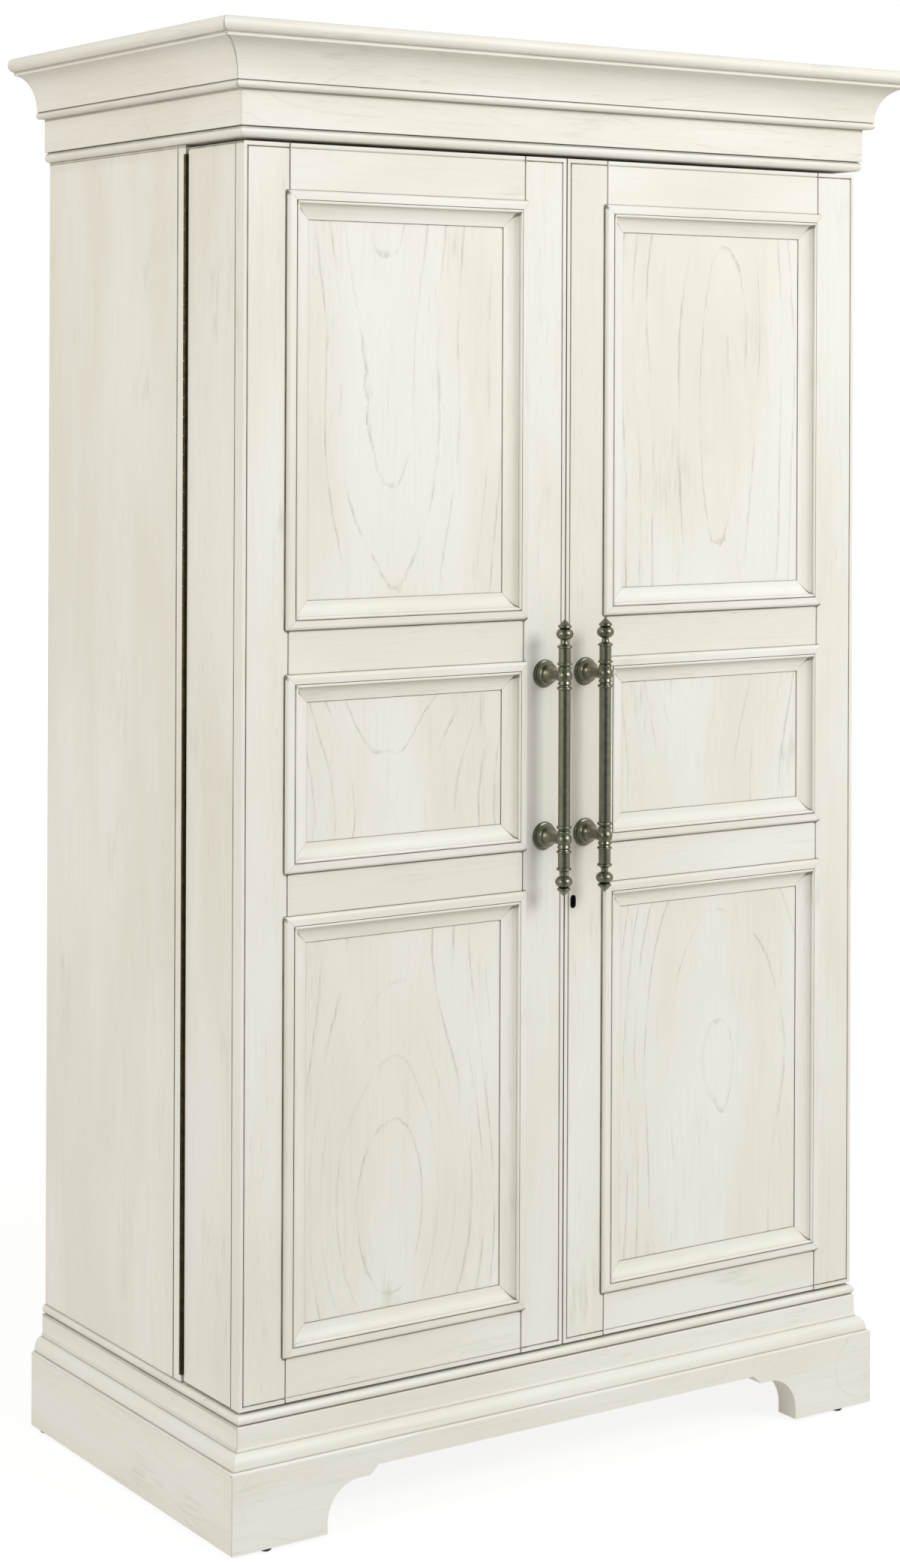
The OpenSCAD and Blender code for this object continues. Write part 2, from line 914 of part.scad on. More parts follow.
module door_shelves(w) {
    for (z = door_shelf_z)
        block([return_t, frame_t, z], [w - return_t, door_d - shelf_lip_t, z + door_shelf_t]);
    for (z = concat([return_t], [for (z = door_shelf_z) z + door_shelf_t]))
        block(
            [return_t, door_d - shelf_lip_t - shelf_lip_in, z + shelf_lip_z],
            [w - return_t, door_d - shelf_lip_in, z + shelf_lip_z + shelf_lip_h]
        );
}

// ---------------------------------------------------------------- pulls

// Half of the turned bar, from its middle to its finial, as radius and height
function pull_half() =
    let (p = pull_centres / 2, tip = pull_len / 2)
    concat(
        [[bar_r, 0], [bar_r, p - 20]],
        arc([bar_r, p - 16.5], 2.1, 2.2, -90, 90, 6),
        [[bar_r - 0.8, p - 12.5]],
        arc([bar_r - 0.4, p - 10.5], 1.4, 1.4, -90, 45, 4),
        arc([0, p], post_ball_r, post_ball_r, -42, 42, 10),
        arc([bar_r - 0.4, p + 10.5], 1.4, 1.4, -45, 90, 4),
        [[bar_r - 0.8, p + 12.5]],
        arc([bar_r, p + 16], 2.0, 1.7, -90, 90, 6),
        [[bar_r, tip - 39]],
        arc([bar_r, tip - 36.5], 2.1, 1.8, -90, 90, 6),
        arc([bar_r, tip - 28.5], 3.4, 5.8, 270, 180, 6),
        arc([0, tip - 19.6], 11.6, 8.6, -66, 54, 12),
        [[6.4, tip - 12], [8.4, tip - 11.4], [9.2, tip - 10.2], [8.8, tip - 8.8], [4.8, tip - 4.8]],
        [[1.6, tip - 1.5], [0, tip]]
    );

module pull_bar(w) {
    upper = pull_half();
    count = len(upper);
    lower = [for (i = [count - 1:-1:0]) [upper[i][0], -upper[i][1]]];
    translate([w - pull_inset, -pull_standoff, pull_z - door_bottom])
        rotate_extrude($fn = 64) polygon(concat(lower, [for (i = [1:count - 1]) upper[i]]));
}

// Radius and distance from the door face of a bell-shaped post on a flat rosette
function post_profile() = concat(
    [[0, 0], [17.2, 0]],
    arc([16.6, 1.6], 1.2, 1.6, -90, 90, 6),
    [[15.8, 3.6]],
    arc([8, 3.6], 7.6, 11, 4, 46, 6),
    arc([16.4, 27.4], 9, 17, 248, 180, 10),
    [[7.6, pull_standoff - post_in], [0, pull_standoff - post_in]]
);

module pull_posts(w) {
    for (side = [-1, 1])
        translate([w - pull_inset, 0, pull_z - door_bottom + side * pull_centres / 2])
            difference() {
                rotate([90, 0, 0]) rotate_extrude($fn = 64) polygon(post_profile());
                translate([0, -pull_standoff, 0]) sphere(r = post_ball_r + post_fit, $fn = 64);
                translate([0, -pull_standoff, 0])
                    cylinder(r = bar_r + post_notch_w, h = post_notch_h, center = true, $fn = 64);
            }
}

// ---------------------------------------------------------------- lock and bolts

lock_z = keyhole_z - door_bottom;

// Keyhole with round ends, long enough to cut through a plate at y = 0
module keyhole_cut(x, y0, y1) {
    straight = (keyhole_h - keyhole_w) / 2;
    translate([x, 0, lock_z]) {
        block([-keyhole_w / 2, y0, -straight], [keyhole_w / 2, y1, straight]);
        for (side = [-1, 1]) translate([0, y0, side * straight]) rotate([-90, 0, 0])
            cylinder(r = keyhole_w / 2, h = y1 - y0, $fn = 40);
    }
}

module edge_plate(w, t) {
    block(
        [w - t, lock_y - lock_plate_w / 2, lock_z - lock_plate_h / 2],
        [w, lock_y + lock_plate_w / 2, lock_z + lock_plate_h / 2]
    );
}

// Slot for the bolt, centred on the lock
module bolt_slot(x0, x1) {
    block(
        [x0, lock_y - bolt_t / 2 - lock_clear, lock_z - bolt_h / 2 - lock_clear],
        [x1, lock_y + bolt_t / 2 + lock_clear, lock_z + bolt_h / 2 + lock_clear]
    );
}

module door_right_meeting_stile() {
    w = right_w;
    color(paint) as_right_door() difference() {
        meeting_stile(w);
        edge_plate(w + 0.01, lock_plate_t + 0.01);
        block(
            [w - lock_w, lock_y - lock_t / 2, lock_z - lock_h / 2],
            [w, lock_y + lock_t / 2, lock_z + lock_h / 2]
        );
        keyhole_cut(w - keyhole_inset, -over, lock_y);
    }
}

module lock_case() {
    w = right_w;
    color(steel) as_right_door() union() {
        difference() {
            union() {
                block(
                    [w - lock_w, lock_y - lock_t / 2, lock_z - lock_h / 2],
                    [w - lock_plate_t, lock_y + lock_t / 2, lock_z + lock_h / 2]
                );
                edge_plate(w, lock_plate_t);
            }
            block(
                [w - lock_w + lock_wall, lock_y - lock_t / 2 + lock_wall, lock_z - lock_h / 2 + lock_wall],
                [w - lock_plate_t, lock_y + lock_t / 2 - lock_wall, lock_z + lock_h / 2 - lock_wall]
            );
            bolt_slot(w - lock_plate_t - over, w + over);
            keyhole_cut(w - keyhole_inset, 0, lock_y);
        }
        translate([w - keyhole_inset, lock_y + lock_t / 2 - lock_wall, lock_z + key_pin_z]) rotate([90, 0, 0])
            cylinder(r = key_pin_r, h = lock_t - 2 * lock_wall, $fn = 24);
    }
}

// A full-height head and a narrow tail over the key pin, where the key's bit turns
module lock_bolt() {
    w = right_w;
    tail_x = w - lock_w + bolt_tail_in;
    color(steel) as_right_door() difference() {
        block(
            [tail_x, lock_y - bolt_t / 2, lock_z - bolt_h / 2],
            [w, lock_y + bolt_t / 2, lock_z + bolt_h / 2]
        );
        block(
            [tail_x - over, 0, lock_z - bolt_h / 2 - over],
            [w - bolt_head_l, frame_t, lock_z + bolt_h / 2 - bolt_tail_h]
        );
    }
}

module door_left_meeting_stile() {
    w = left_w;
    color(paint) as_left_door() difference() {
        meeting_stile(w);
        edge_plate(w + 0.01, lock_plate_t + 0.01);
        bolt_slot(w - lock_travel - bolt_pocket, w);
    }
}

module lock_strike() {
    color(steel) as_left_door() difference() {
        edge_plate(left_w, lock_plate_t);
        bolt_slot(left_w - lock_plate_t - over, left_w + over);
    }
}

// A barrel bolt's place inside the left door, as a frame whose z runs out through the door's end
module at_top_bolt() {
    as_left_door() translate([left_w - return_t - rod_bolt_off, rod_bolt_y, door_h]) children();
}

module at_bottom_bolt() {
    as_left_door() translate([left_w - return_t - rod_bolt_off, rod_bolt_y, 0]) mirror([0, 0, 1])
        children();
}

// Lower ends of the straps: the knob's neck works between the first two, which stop it both ways
strap_z = [
    knob_z - knob_neck_r - stop_clear - strap_h,
    knob_z + knob_neck_r + stop_clear + barrel_bolt_travel,
    bolt_plate_z[1] - strap_h
];

module bolt_housing() {
    strap_r = rod_bolt_r + strap_wall;
    difference() {
        union() {
            block(
                [rod_bolt_off - bolt_plate_t, -bolt_plate_w / 2, bolt_plate_z[0]],
                [rod_bolt_off, bolt_plate_w / 2, bolt_plate_z[1]]
            );
            for (z = strap_z) block([-strap_r, -strap_r, z], [rod_bolt_off, strap_r, z + strap_h]);
        }
        for (z = strap_z) translate([0, 0, z - over])
            cylinder(r = rod_bolt_r + rod_bolt_fit, h = strap_h + 2 * over, $fn = 40);
    }
}

module bolt_housings() {
    color(steel) {
        at_top_bolt() bolt_housing();
        at_bottom_bolt() bolt_housing();
    }
}

// Round rod with a turned knob, its tip just inside the door's end
module barrel_bolt() {
    union() {
        translate([0, 0, -rod_bolt_l - rod_bolt_in]) cylinder(r = rod_bolt_r, h = rod_bolt_l, $fn = 40);
        translate([0, 0, knob_z]) rotate([0, -90, 0]) rotate_extrude($fn = 40)
            polygon(concat(
                [[0, 0], [knob_neck_r, 0], [knob_neck_r, 7]],
                arc([0, 11], 4.5, 4.5, -60, 90, 8)
            ));
    }
}

module top_bolt() {
    color(steel) at_top_bolt() barrel_bolt();
}

module bottom_bolt() {
    color(steel) at_bottom_bolt() barrel_bolt();
}

module bolt_keepers() {
    color(steel) from_door_face() for (z = [deck_top - keeper_t, soffit_bottom])
        translate([bolt_x, rod_bolt_y, z]) difference() {
            cylinder(r = keeper_r, h = keeper_t, $fn = 48);
            translate([0, 0, -over]) cylinder(r = rod_bolt_hole_r, h = keeper_t + 2 * over, $fn = 48);
        }
}

// ---------------------------------------------------------------- doors

module door_left_outer_stile() {
    color(paint) as_left_door() outer_stile(left_w);
}

module door_left_rails() {
    color(paint) as_left_door() rails(left_w);
}

module door_left_panels() {
    color(paint) as_left_door() panels(left_w);
}

module door_left_mouldings() {
    color(paint) as_left_door() mouldings(left_w);
}

module door_left_outer_return() {
    color(paint) as_left_door() outer_return();
}

module door_left_meeting_return() {
    color(paint) as_left_door() meeting_return(left_w);
}

module door_left_end_returns() {
    color(paint) difference() {
        as_left_door() end_returns(left_w);
        from_door_face() bolt_hole();
    }
}

module door_left_shelves() {
    color(bare_wood) as_left_door() door_shelves(left_w);
}

module door_left_pull_bar() {
    color(pewter) as_left_door() pull_bar(left_w);
}

module door_left_pull_posts() {
    color(pewter) as_left_door() pull_posts(left_w);
}

module door_right_outer_stile() {
    color(paint) as_right_door() outer_stile(right_w);
}

module door_right_rails() {
    color(paint) as_right_door() rails(right_w);
}

module door_right_panels() {
    color(paint) as_right_door() panels(right_w);
}

module door_right_mouldings() {
    color(paint) as_right_door() mouldings(right_w);
}

module door_right_outer_return() {
    color(paint) as_right_door() outer_return();
}

module door_right_meeting_return() {
    color(paint) as_right_door() meeting_return(right_w);
}

module door_right_end_returns() {
    color(paint) as_right_door() end_returns(right_w);
}

module door_right_shelves() {
    color(bare_wood) as_right_door() door_shelves(right_w);
}

module door_right_pull_bar() {
    color(pewter) as_right_door() pull_bar(right_w);
}

module door_right_pull_posts() {
    color(pewter) as_right_door() pull_posts(right_w);
}

// ---------------------------------------------------------------- assembly

plinth_front_board();
plinth_left_board();
plinth_right_board();
plinth_back_rail();
glides();
glue_blocks();
base_moulding_front();
base_moulding_left();
base_moulding_right();
base_deck();
case_bottom();
case_side_left();
case_side_right();
case_edge_strips();
case_top();
case_back();
fixed_shelf();
adjustable_shelves();
shelf_pins();
hanging_rod();
rod_sockets();
soffit_board();
frieze_boards();
crown_front();
crown_left();
crown_right();
dust_board();
case_hinge_leaves();
hinge_pins();
bolt_keepers();
door_left_outer_stile();
door_left_meeting_stile();
door_left_rails();
door_left_panels();
door_left_mouldings();
door_left_outer_return();
door_left_meeting_return();
door_left_end_returns();
door_left_shelves();
door_left_hinge_leaf();
door_left_pull_bar();
door_left_pull_posts();
lock_strike();
bolt_housings();
top_bolt();
bottom_bolt();
door_right_outer_stile();
door_right_meeting_stile();
door_right_rails();
door_right_panels();
door_right_mouldings();
door_right_outer_return();
door_right_meeting_return();
door_right_end_returns();
door_right_shelves();
door_right_hinge_leaf();
door_right_pull_bar();
door_right_pull_posts();
lock_case();
lock_bolt();
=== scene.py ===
import json
import math

import bmesh
import bpy
from mathutils import Matrix, Vector


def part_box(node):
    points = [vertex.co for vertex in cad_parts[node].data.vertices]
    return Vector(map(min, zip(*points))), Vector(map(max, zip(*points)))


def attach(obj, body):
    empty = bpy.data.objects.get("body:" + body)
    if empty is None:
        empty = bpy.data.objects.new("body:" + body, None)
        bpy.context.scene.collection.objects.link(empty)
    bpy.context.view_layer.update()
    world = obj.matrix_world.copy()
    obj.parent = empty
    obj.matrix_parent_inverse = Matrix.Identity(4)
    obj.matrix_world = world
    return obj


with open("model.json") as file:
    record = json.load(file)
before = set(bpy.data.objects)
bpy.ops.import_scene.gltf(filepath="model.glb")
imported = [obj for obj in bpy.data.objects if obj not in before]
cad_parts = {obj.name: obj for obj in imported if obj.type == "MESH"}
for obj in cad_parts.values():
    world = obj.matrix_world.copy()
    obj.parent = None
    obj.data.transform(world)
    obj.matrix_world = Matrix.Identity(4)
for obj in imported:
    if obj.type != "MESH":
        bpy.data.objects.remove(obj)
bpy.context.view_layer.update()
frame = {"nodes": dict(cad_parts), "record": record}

NODES = frame["nodes"]
scene = bpy.context.scene
scene.view_settings.view_transform = "Standard"

# Lengths are in metres. Colours in rgb() are sRGB values out of 255, and the others are linear.


# ---------------------------------------------------------------- node helpers

class Tree:
    """Short calls for building a shader or geometry node tree."""

    def __init__(self, tree):
        self.tree = tree

    def node(self, kind, **props):
        n = self.tree.nodes.new(kind)
        for key, value in props.items():
            setattr(n, key, value)
        return n

    def put(self, value, socket):
        if isinstance(value, bpy.types.NodeSocket):
            self.tree.links.new(value, socket)
        else:
            socket.default_value = value

    def math(self, op, a, b=0.0, c=0.0):
        n = self.node("ShaderNodeMath", operation=op)
        for value, socket in zip((a, b, c), n.inputs):
            self.put(value, socket)
        return n.outputs[0]

    def product(self, first, *others):
        for value in others:
            first = self.math("MULTIPLY", first, value)
        return first

    def vmath(self, op, a, b=(0.0, 0.0, 0.0)):
        n = self.node("ShaderNodeVectorMath", operation=op)
        self.put(a, n.inputs[0])
        self.put(b, n.inputs[1])
        return n.outputs["Value"] if op == "LENGTH" else n.outputs[0]

    def xyz(self, vector):
        n = self.node("ShaderNodeSeparateXYZ")
        self.put(vector, n.inputs[0])
        return n.outputs[0], n.outputs[1], n.outputs[2]

    def vector(self, x, y, z):
        n = self.node("ShaderNodeCombineXYZ")
        for value, socket in zip((x, y, z), n.inputs):
            self.put(value, socket)
        return n.outputs[0]

    def noise(self, vector, scale=1.0, detail=2.0, rough=0.5, dims="3D"):
        n = self.node("ShaderNodeTexNoise", noise_dimensions=dims)
        self.put(vector, n.inputs["W"] if dims == "1D" else n.inputs["Vector"])
        n.inputs["Scale"].default_value = scale
        n.inputs["Detail"].default_value = detail
        n.inputs["Roughness"].default_value = rough
        return n.outputs[0]

    def ramp(self, value, low, high, to_low=0.0, to_high=1.0):
        n = self.node("ShaderNodeMapRange", interpolation_type="SMOOTHSTEP")
        for v, socket in zip((value, low, high, to_low, to_high), n.inputs):
            self.put(v, socket)
        return n.outputs[0]

    def mix(self, factor, a, b):
        n = self.node("ShaderNodeMix", data_type="RGBA")
        self.put(factor, n.inputs[0])
        self.put(a, n.inputs[6])
        self.put(b, n.inputs[7])
        return n.outputs[2]

    def attribute(self, name, output="Fac"):
        return self.node("ShaderNodeAttribute", attribute_name=name).outputs[output]

    def crevice(self, distance, samples=6, lean=None):
        """0 on open surfaces, rising towards 1 in corners and grooves. A lean in the object's own axes
        makes it stronger beside what stands on that side."""
        n = self.node("ShaderNodeAmbientOcclusion", samples=samples)
        n.inputs["Distance"].default_value = distance
        if lean:
            turn = self.node("ShaderNodeVectorTransform", vector_type="VECTOR", convert_from="OBJECT",
                             convert_to="WORLD")
            turn.inputs[0].default_value = lean
            normal = self.node("ShaderNodeNewGeometry").outputs["Normal"]
            self.put(self.vmath("NORMALIZE", self.vmath("ADD", normal, turn.outputs[0])), n.inputs["Normal"])
        return self.math("SUBTRACT", 1.0, n.outputs["AO"])

    def bump(self, height, strength, distance):
        n = self.node("ShaderNodeBump")
        n.inputs["Strength"].default_value = strength
        n.inputs["Distance"].default_value = distance
        self.put(height, n.inputs["Height"])
        return n.outputs[0]


def material(name):
    m = bpy.data.materials.new(name)
    m.use_nodes = True
    return m, Tree(m.node_tree), m.node_tree.nodes["Principled BSDF"]


def rgb(r, g, b):
    """A linear colour from sRGB values out of 255."""
    def linear(v):
        v /= 255
        return v / 12.92 if v <= 0.04045 else ((v + 0.055) / 1.055) ** 2.4
    return (linear(r), linear(g), linear(b), 1.0)


# ---------------------------------------------------------------- wood

# Painted shade, as from a light at the upper right: the lean puts the dark below and to the left of what
# stands proud
PAINTED_SHADE_LEAN = (0.9, 0.0, 0.9)

# Every board is cut from a log of its own. This is how far apart the hearts lie sideways, how deep they are
# under the face, and how much deeper where the log swells, over what length.
HEART_SPREAD = 0.07
HEART_DEPTH = 0.02
SWELL, SWELL_SCALE = 0.24, 1.25
# How far apart in the noise two boards lie, so that no two look alike
BOARDS_APART = (7.3, 3.1, 11.9)
# How far a growth ring wanders slowly and trembles finely
RING_WANDER = 0.035
RING_TREMBLE = 0.003
# How far short of the next ring its line is darkest and where it begins, and the square of the least slope
# of a ring to the face, which bounds the line's width where the ring lies flat
RING_LINE = (0.0006, 0.0046)
LEAST_SLOPE_SQUARED = 0.045
# Noise scales across, through and along the grain
GRAIN = {
    "wander": (8.0, 8.0, 1.8),
    "tremble": (80.0, 80.0, 36.0),
    "patches": (30.0, 30.0, 9.0),
    "feather": (420.0, 420.0, 26.0),
    "streaks": (260.0, 260.0, 7.0),
    "pores": (620.0, 620.0, 26.0),
    "pore_bands": (24.0, 24.0, 1.2),
    "clouds": (9.0, 9.0, 2.2),
    "smudges": (13.0, 13.0, 6.0),
    "smudge_fibres": (210.0, 210.0, 20.0),
    "rubbing": (60.0, 60.0, 14.0),
}


def grain_noise(t, place, kind, detail, rough=0.5):
    return t.noise(t.vmath("MULTIPLY", place, GRAIN[kind]), 1.0, detail, rough)


def wood_figure(t, ring_gap):
    """Growth-ring lines, fine streaks, pores and slow cloudiness of a flat-sawn board, each from 0 to 1, and
    the place in the wood that they are drawn from."""
    board, seed = t.attribute("board", "Vector"), t.attribute("board_seed")
    across, thick, along = t.xyz(board)
    own_part = t.vector(*[t.math("MULTIPLY", seed, far) for far in BOARDS_APART])
    place = t.vmath("ADD", board, own_part)

    def wavering(kind, detail, rough, amount):
        return t.math("MULTIPLY", t.math("SUBTRACT", grain_noise(t, place, kind, detail, rough), 0.5), amount)

    own_heart = t.math("SUBTRACT", t.math("FRACT", t.math("MULTIPLY", seed, 17.0)), 0.5)
    aside = t.math("SUBTRACT", across, t.math("MULTIPLY", own_heart, HEART_SPREAD))
    along_log = t.math("ADD", t.math("MULTIPLY", along, SWELL_SCALE), t.math("MULTIPLY", seed, 23.0))
    swell = t.math("MULTIPLY", t.noise(along_log, 1.0, 1.0, dims="1D"), SWELL)
    depth = t.math("ADD", t.math("ADD", thick, HEART_DEPTH), swell)
    radius = t.vmath("LENGTH", t.vector(aside, depth, 0.0))
    waved = t.math("ADD", radius, wavering("wander", 1.0, 0.5, RING_WANDER))
    waved = t.math("ADD", waved, wavering("tremble", 5.0, 0.62, RING_TREMBLE))
    rings = t.math("DIVIDE", waved, ring_gap)

    # The distance to the next ring, along the face: the flatter the ring lies, the further it is
    slant = t.math("DIVIDE", aside, radius)
    slope = t.math("SQRT", t.math("ADD", t.math("MULTIPLY", slant, slant), LEAST_SLOPE_SQUARED))
    to_next = t.math("MULTIPLY", t.math("SUBTRACT", 1.0, t.math("FRACT", rings)), ring_gap)
    edge = t.ramp(t.math("DIVIDE", to_next, slope), RING_LINE[0], RING_LINE[1], 1.0, 0.0)
    ring_number = t.math("ADD", t.math("FLOOR", rings), t.math("MULTIPLY", seed, 40.0))
    strength = t.ramp(t.noise(ring_number, 0.83, 0.0, dims="1D"), 0.32, 0.56)
    patches = t.ramp(grain_noise(t, place, "patches", 3.0), 0.38, 0.6)
    feather = t.ramp(grain_noise(t, place, "feather", 3.0), 0.36, 0.6, 0.35, 1.0)
    lines = t.product(edge, strength, patches, t.attribute("board_figure"), feather)

    streaks = t.ramp(grain_noise(t, place, "streaks", 3.0, 0.6), 0.5, 0.8)
    pore_bands = t.ramp(grain_noise(t, place, "pore_bands", 2.0), 0.42, 0.62)
    pores = t.product(t.ramp(grain_noise(t, place, "pores", 2.0), 0.6, 0.78), pore_bands)
    clouds = grain_noise(t, place, "clouds", 3.0)
    return lines, streaks, pores, clouds, place


def white_wash():
    m, t, shader = material("white_wash")
    lines, streaks, pores, clouds, place = wood_figure(t, 0.016)
    tone = t.mix(t.ramp(clouds, 0.3, 0.7), rgb(241, 240, 235), rgb(233, 231, 222))
    tone = t.mix(t.math("MULTIPLY", streaks, 0.24), tone, rgb(208, 206, 193))
    tone = t.mix(t.math("MULTIPLY", pores, 0.42), tone, rgb(186, 184, 171))
    tone = t.mix(t.math("MULTIPLY", lines, 0.46), tone, rgb(160, 159, 147))
    smudges = t.product(t.ramp(grain_noise(t, place, "smudges", 2.0), 0.58, 0.74),
                        t.ramp(grain_noise(t, place, "smudge_fibres", 4.0), 0.4, 0.75))
    tone = t.mix(t.math("MULTIPLY", smudges, 0.4), tone, rgb(184, 182, 168))

    # Painted shade below and to the left of what stands proud, lighter where two mouldings meet, and dark
    # glaze with painted shade in grooves and creases, broken up at random where rubbed
    leaned_occlusion = t.crevice(0.0045, 16, PAINTED_SHADE_LEAN)
    lee_painted_shade = t.product(t.ramp(leaned_occlusion, 0.26, 0.38), t.ramp(leaned_occlusion, 0.5, 0.65, 1.0, 0.35))
    groove_glaze_and_shade = t.math("MULTIPLY", t.ramp(t.crevice(0.0018, 8), 0.1, 0.34), 0.9)
    rubbed = t.ramp(grain_noise(t, place, "rubbing", 3.0), 0.3, 0.7, 0.72, 1.0)
    glaze_and_shade = t.product(t.math("MAXIMUM", lee_painted_shade, groove_glaze_and_shade), rubbed, t.attribute("board_glaze_and_shade"))
    tone = t.mix(glaze_and_shade, tone, rgb(60, 57, 43))
    # Painted soft shade: a broad faint darkening within 20 mm of corners, heavier below and to the left of
    # what stands proud
    soft_painted_shade = t.math("MULTIPLY", t.ramp(t.crevice(0.02, 4, PAINTED_SHADE_LEAN), 0.12, 0.8), 0.15)
    tone = t.mix(soft_painted_shade, tone, rgb(186, 182, 160))

    t.put(tone, shader.inputs["Base Color"])
    t.put(t.ramp(clouds, 0.2, 0.8, 0.42, 0.54), shader.inputs["Roughness"])
    sunk = t.math("ADD", t.math("MULTIPLY", pores, 0.5), t.math("MULTIPLY", lines, 0.5))
    t.put(t.bump(t.math("SUBTRACT", 1.0, sunk), 0.25, 0.0003), shader.inputs["Normal"])
    return m


def clear_wood():
    m, t, shader = material("clear_wood")
    lines, streaks, pores, clouds, _ = wood_figure(t, 0.009)
    tone = t.mix(t.ramp(clouds, 0.3, 0.7), rgb(222, 200, 160), rgb(208, 182, 138))
    tone = t.mix(t.math("MULTIPLY", streaks, 0.35), tone, rgb(184, 154, 108))
    tone = t.mix(t.math("MULTIPLY", lines, 0.6), tone, rgb(160, 126, 82))
    tone = t.mix(t.math("MULTIPLY", pores, 0.3), tone, rgb(132, 100, 62))
    # Painted shade: darker in corners and recesses within 12 mm
    tone = t.mix(t.math("MULTIPLY", t.ramp(t.crevice(0.012), 0.15, 0.7), 0.4), tone, rgb(110, 84, 52))
    t.put(tone, shader.inputs["Base Color"])
    t.put(t.ramp(clouds, 0.2, 0.8, 0.38, 0.5), shader.inputs["Roughness"])
    t.put(t.bump(t.math("SUBTRACT", 1.0, streaks), 0.2, 0.0003), shader.inputs["Normal"])
    return m


# ---------------------------------------------------------------- metal and nylon

def metal(name, dark, light, rough, rub):
    """Plated metal, mottled between two tones. rub is how much darker its hollows stay."""
    m, t, shader = material(name)
    place = t.node("ShaderNodeTexCoord").outputs["Object"]
    mottle = t.noise(place, 120.0, 3.0, 0.5)
    fine = t.noise(place, 1500.0, 2.0)
    tone = t.mix(t.ramp(mottle, 0.25, 0.75), dark, light)
    hollow = t.ramp(t.crevice(0.004), 0.12, 0.6)
    darkest = tuple(c * 0.25 for c in dark[:3]) + (1.0,)
    tone = t.mix(t.math("MULTIPLY", hollow, rub), tone, darkest)
    t.put(tone, shader.inputs["Base Color"])
    shader.inputs["Metallic"].default_value = 1.0
    t.put(t.ramp(mottle, 0.3, 0.7, rough - 0.02, rough + 0.03), shader.inputs["Roughness"])
    t.put(t.bump(fine, 0.02, 0.0001), shader.inputs["Normal"])
    return m


def nylon():
    m, t, shader = material("nylon")
    place = t.node("ShaderNodeTexCoord").outputs["Object"]
    grain = t.noise(place, 900.0, 3.0)
    t.put(t.mix(grain, rgb(22, 22, 23), rgb(40, 40, 40)), shader.inputs["Base Color"])
    t.put(t.ramp(grain, 0.3, 0.7, 0.42, 0.58), shader.inputs["Roughness"])
    t.put(t.bump(grain, 0.15, 0.0002), shader.inputs["Normal"])
    return m


MATERIALS = {
    "white_washed_wood": white_wash(),
    "clear_finished_wood": clear_wood(),
    "antique_pewter": metal("pewter", rgb(124, 123, 107), rgb(138, 137, 120), 0.32, 0.7),
    "dark_bronze": metal("bronze", rgb(58, 50, 34), rgb(84, 74, 52), 0.42, 0.7),
    "bright_steel": metal("steel", rgb(178, 176, 170), rgb(204, 202, 196), 0.3, 0.5),
    "black_nylon": nylon(),
}


# ---------------------------------------------------------------- modifiers on the CAD nodes

WELD_DISTANCE = 2e-6
SMOOTH_ANGLE = math.radians(36)
EASED_EDGE = 0.0007
EASED_ANGLE = math.radians(40)


def geometry_group(name):
    g = bpy.data.node_groups.new(name, "GeometryNodeTree")
    for direction in ("INPUT", "OUTPUT"):
        g.interface.new_socket("Geometry", in_out=direction, socket_type="NodeSocketGeometry")
    t = Tree(g)
    return g, t, t.node("NodeGroupInput"), t.node("NodeGroupOutput")


def smoothing_group():
    """Smooth shading, except across edges sharper than the limit."""
    g, t, start, end = geometry_group("smooth_by_angle")
    angle = t.node("GeometryNodeInputMeshEdgeAngle").outputs[0]
    faces = t.node("GeometryNodeSetMeshNormal", mode="SHARPNESS")
    t.put(start.outputs[0], faces.inputs["Mesh"])
    t.put(True, faces.inputs["Remove Custom"])
    t.put(t.math("GREATER_THAN", angle, SMOOTH_ANGLE), faces.inputs["Edge Sharpness"])
    t.put(False, faces.inputs["Face Sharpness"])
    t.put(faces.outputs[0], end.inputs[0])
    return g


